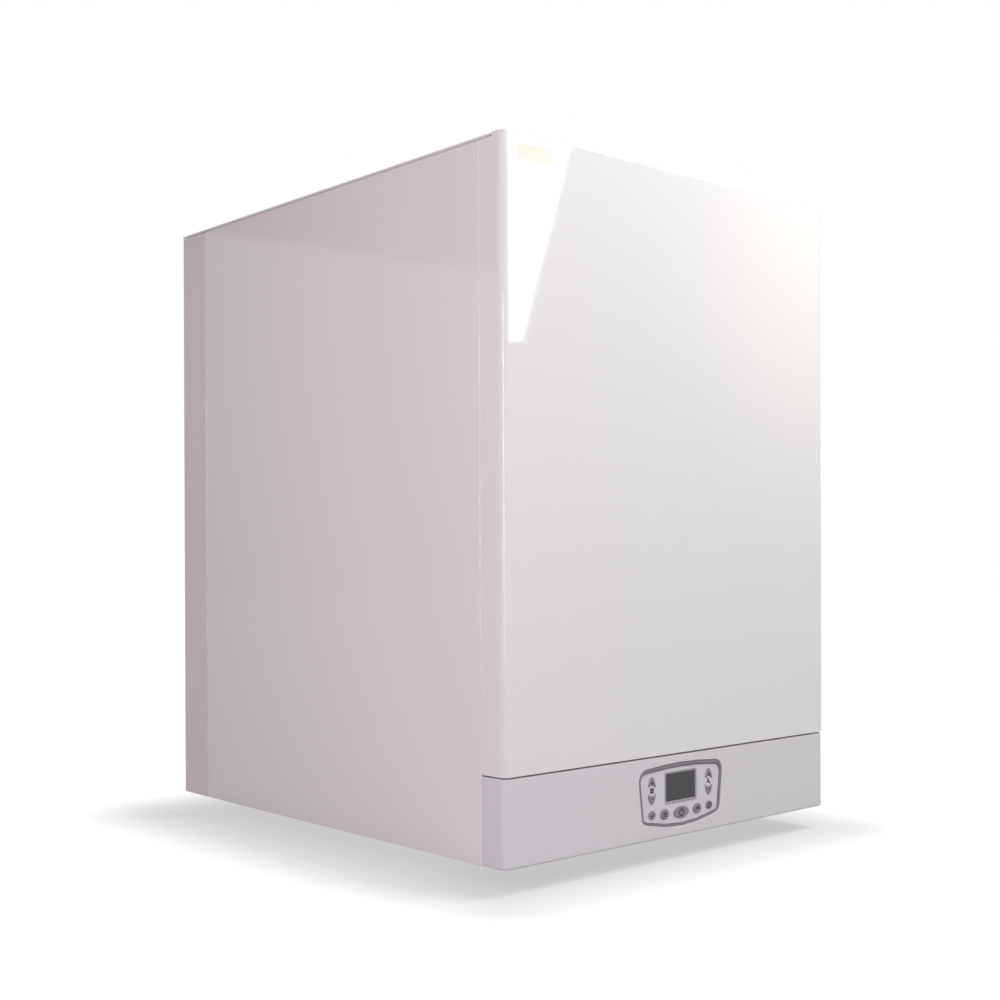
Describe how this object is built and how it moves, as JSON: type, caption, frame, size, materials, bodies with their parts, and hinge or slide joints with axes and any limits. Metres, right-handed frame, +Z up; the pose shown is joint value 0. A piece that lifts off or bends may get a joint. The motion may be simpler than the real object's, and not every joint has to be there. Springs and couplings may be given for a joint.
{
  "type": "wall-mounted gas boiler",
  "caption": "Deep white condensing gas boiler that hangs on a wall, with a pull-off front cover and a control strip that tilts down below it.",
  "frame": {"origin": "middle of the wall bracket's back face, on the wall, 770 mm above the casing's lower edge", "axes": "+X to the right for someone facing the boiler, +Y into the wall, +Z up; the front faces -Y"},
  "size_m": [0.6, 0.719, 0.904],
  "materials": {
    "galvanised_steel": "satin zinc-coated sheet",
    "grey_enamel": "smooth stoved enamel",
    "warm_grey_enamel": "smooth stoved enamel",
    "white_enamel": "glossy stoved enamel",
    "black_rubber": "matt foam rubber",
    "white_plastic": "satin moulded plastic",
    "dark_grey_plastic": "satin, with a bright rim",
    "light_grey_plastic": "fine matt",
    "display_window": "glossy, dark when off",
    "circuit_board": "solder resist",
    "black_plastic": "fine texture",
    "key_plastic": "soft satin",
    "stainless_steel": "brushed",
    "grey_plastic": "moulded",
    "cast_aluminium": "as cast",
    "insulation_fibre": "pressed fibre board",
    "white_ceramic": "glazed",
    "dark_painted_metal": "semi-matt",
    "copper": "drawn copper tube",
    "white_flue_plastic": "flue-grade plastic",
    "brass": "machined",
    "cast_iron": "painted casting",
    "red_plastic": "moulded",
    "red_painted_metal": "dipped coating"
  },
  "bodies": {
    "casing": {"wall_bracket": "galvanised_steel", "back_panel": "galvanised_steel", "base_panel": "galvanised_steel", "lower_rail": "galvanised_steel", "left_upright": "warm_grey_enamel", "right_upright": "warm_grey_enamel", "left_side_panel": "grey_enamel", "right_side_panel": "grey_enamel", "top_panel": "grey_enamel", "air_silencer": "black_plastic", "pump_motor": "black_plastic", "exchanger_coil": "stainless_steel", "burner_tube": "stainless_steel", "condensate_sump": "grey_plastic", "siphon_body": "grey_plastic", "siphon_cup": "grey_plastic", "condensate_hose": "grey_plastic", "exchanger_shell": "cast_aluminium", "burner_door": "cast_aluminium", "fan_housing": "cast_aluminium", "air_gas_mixer": "cast_aluminium", "gas_valve": "cast_aluminium", "door_insulation": "insulation_fibre", "ignition_electrode": "white_ceramic", "fan_motor": "dark_painted_metal", "gas_pipe": "copper", "flow_pipe": "copper", "return_pipe": "copper", "air_collar": "white_flue_plastic", "flue_collar": "white_flue_plastic", "flue_duct": "white_flue_plastic", "flow_connector": "brass", "return_connector": "brass", "gas_connector": "brass", "air_vent": "brass", "safety_valve": "brass", "pump_body": "cast_iron"},
    "front_cover": {"front_cover": "white_enamel", "cover_seal": "black_rubber"},
    "control_panel": {"control_fascia": "white_plastic", "bezel_ring": "dark_grey_plastic", "keypad_plate": "light_grey_plastic", "display_frame": "dark_grey_plastic", "display_glass": "display_window", "display_board": "circuit_board", "control_box": "black_plastic", "control_box_cover": "black_plastic", "main_board": "circuit_board"},
    "hot_water_up_button": {"hot_water_up_button": "key_plastic"},
    "hot_water_down_button": {"hot_water_down_button": "key_plastic"},
    "heating_up_button": {"heating_up_button": "key_plastic"},
    "heating_down_button": {"heating_down_button": "key_plastic"},
    "info_button": {"info_button": "key_plastic"},
    "menu_button": {"menu_button": "key_plastic"},
    "power_button": {"power_button": "key_plastic"},
    "confirm_button": {"confirm_button": "key_plastic"},
    "clock_button": {"clock_button": "key_plastic"},
    "fan_rotor": {"fan_impeller": "cast_aluminium"},
    "safety_knob": {"safety_knob": "red_plastic"},
    "drain_lever": {"drain_lever": "red_painted_metal"}
  },
  "joints": [
    {"name": "front_cover_slide", "type": "slide", "parent": "casing", "child": "front_cover", "axis": [0, -1, 0], "range_m": [0, 0.3]},
    {"name": "control_panel_tilt", "type": "hinge", "parent": "casing", "child": "control_panel", "pos_m": [0, -0.601, -0.764], "axis": [1, 0, 0], "range_deg": [0, 90]},
    {"name": "fan_spin", "type": "hinge", "parent": "casing", "child": "fan_rotor", "pos_m": [0.1685, -0.552, -0.185], "axis": [0, -1, 0], "continuous": true},
    {"name": "safety_knob_turn", "type": "hinge", "parent": "casing", "child": "safety_knob", "pos_m": [-0.2693, -0.401, -0.47], "axis": [0, 1, 0], "range_deg": [0, 90]},
    {"name": "drain_lever_turn", "type": "hinge", "parent": "casing", "child": "drain_lever", "pos_m": [0.15, -0.393, -0.718], "axis": [0, -1, 0], "range_deg": [0, 90]},
    {"name": "hot_water_up_button_press", "type": "slide", "parent": "control_panel", "child": "hot_water_up_button", "axis": [0, 1, 0], "range_m": [0, 0.0012], "stiffness_N_per_m": 1500},
    {"name": "hot_water_down_button_press", "type": "slide", "parent": "control_panel", "child": "hot_water_down_button", "axis": [0, 1, 0], "range_m": [0, 0.0012], "stiffness_N_per_m": 1500},
    {"name": "heating_up_button_press", "type": "slide", "parent": "control_panel", "child": "heating_up_button", "axis": [0, 1, 0], "range_m": [0, 0.0012], "stiffness_N_per_m": 1500},
    {"name": "heating_down_button_press", "type": "slide", "parent": "control_panel", "child": "heating_down_button", "axis": [0, 1, 0], "range_m": [0, 0.0012], "stiffness_N_per_m": 1500},
    {"name": "info_button_press", "type": "slide", "parent": "control_panel", "child": "info_button", "axis": [0, 1, 0], "range_m": [0, 0.0012], "stiffness_N_per_m": 1500},
    {"name": "menu_button_press", "type": "slide", "parent": "control_panel", "child": "menu_button", "axis": [0, 1, 0], "range_m": [0, 0.0012], "stiffness_N_per_m": 1500},
    {"name": "power_button_press", "type": "slide", "parent": "control_panel", "child": "power_button", "axis": [0, 1, 0], "range_m": [0, 0.0012], "stiffness_N_per_m": 1500},
    {"name": "confirm_button_press", "type": "slide", "parent": "control_panel", "child": "confirm_button", "axis": [0, 1, 0], "range_m": [0, 0.0012], "stiffness_N_per_m": 1500},
    {"name": "clock_button_press", "type": "slide", "parent": "control_panel", "child": "clock_button", "axis": [0, 1, 0], "range_m": [0, 0.0012], "stiffness_N_per_m": 1500}
  ]
}
